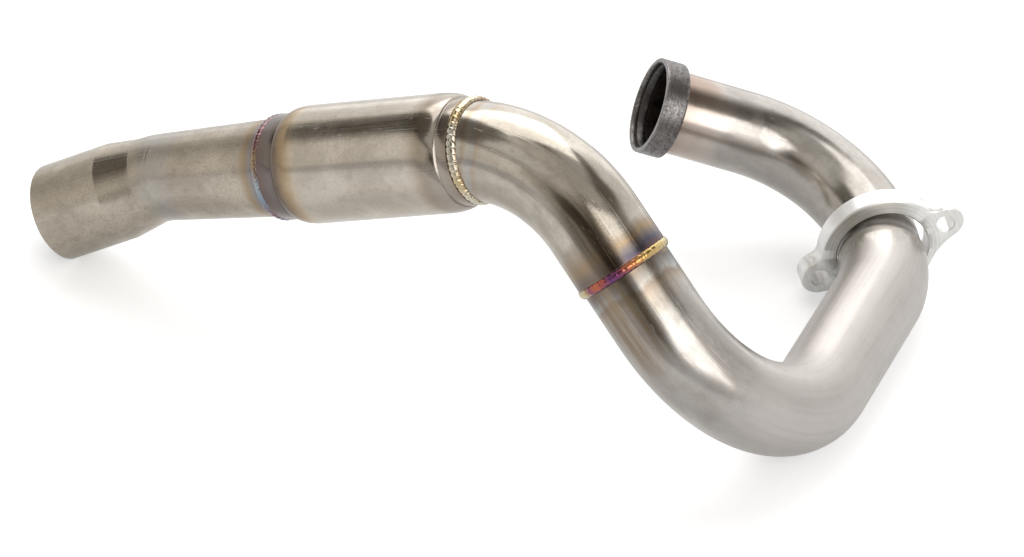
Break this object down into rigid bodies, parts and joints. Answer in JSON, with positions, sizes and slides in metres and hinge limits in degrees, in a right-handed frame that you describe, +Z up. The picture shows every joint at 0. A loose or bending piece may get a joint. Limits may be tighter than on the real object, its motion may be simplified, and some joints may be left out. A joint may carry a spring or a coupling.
{
  "type": "motorcycle exhaust header",
  "caption": "Bent stainless exhaust header for a motorcycle, with a port collar, a loose eared flange, an in-line spun chamber, ringed welds and a muffler socket.",
  "frame": {"origin": "centre of the bounding box at ground level, with the header lying as it rests on flat ground", "axes": "+Z up; +X along the longest extent, from the muffler socket toward the tight bend; +Y toward the side that the port run lies on"},
  "size_m": [0.3792, 0.2506, 0.1448],
  "materials": {
    "collar_steel": "machined, heat-darkened",
    "flange_alloy": "machined",
    "head_tube": "polished and scratched lengthwise",
    "mid_bead": "heat-tinted weld",
    "mid_tube": "brushed",
    "front_bead": "straw-tinted weld",
    "chamber_tube": "brushed, brown-tinted at one end",
    "core_tube": "perforated tube",
    "rear_bead": "blue and purple heat-tinted weld",
    "tail_tube": "dull brushed"
  },
  "bodies": {
    "root": {"port_collar": "collar_steel", "exhaust_flange": "flange_alloy", "head_pipe": "head_tube", "mid_weld": "mid_bead", "mid_pipe": "mid_tube", "front_weld": "front_bead", "chamber_shell": "chamber_tube", "chamber_core": "core_tube", "rear_weld": "rear_bead", "tail_pipe": "tail_tube"}
  },
  "joints": []
}
